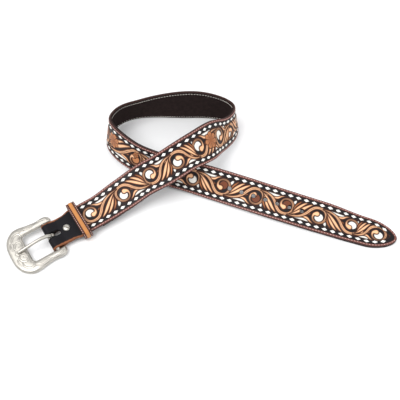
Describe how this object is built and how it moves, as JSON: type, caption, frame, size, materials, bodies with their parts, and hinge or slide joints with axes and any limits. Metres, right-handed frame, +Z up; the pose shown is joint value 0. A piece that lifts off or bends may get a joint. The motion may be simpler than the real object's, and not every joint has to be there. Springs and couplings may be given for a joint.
{
  "type": "western tooled belt",
  "caption": "Tooled leather belt with buckstitched edges, engraved silver buckle, keeper loop and a star concho at the centre back, lying in an open loop.",
  "frame": {"origin": "bottom centre of the bounding box of the belt as it lies", "axes": "+Z up off the surface it lies on, +X from the buckle towards the tip along the longest side, +Y towards the centre back and its concho"},
  "size_m": [0.4292, 0.2392, 0.0693],
  "materials": {
    "tooled_leather": "satin",
    "lining_leather": "matte",
    "keeper_leather": "satin",
    "buckle_silver": "polished, engraved",
    "concho_metal": "antiqued"
  },
  "bodies": {
    "strap": {"strap": "tooled_leather", "lining": "lining_leather", "keeper": "keeper_leather", "fold_screw": "buckle_silver", "concho": "concho_metal"},
    "buckle": {"buckle_frame": "buckle_silver"},
    "prong": {"prong": "buckle_silver"}
  },
  "joints": [
    {"name": "buckle_swing", "type": "hinge", "parent": "strap", "child": "buckle", "pos_m": [-0.16744, -0.07721, 0.00713], "axis": [-0.5481, 0.8275, 0.1215], "range_deg": [-15, 45]},
    {"name": "prong_swing", "type": "hinge", "parent": "buckle", "child": "prong", "pos_m": [-0.16744, -0.07721, 0.00713], "axis": [-0.5481, 0.8275, 0.1215], "range_deg": [0, 62]}
  ]
}
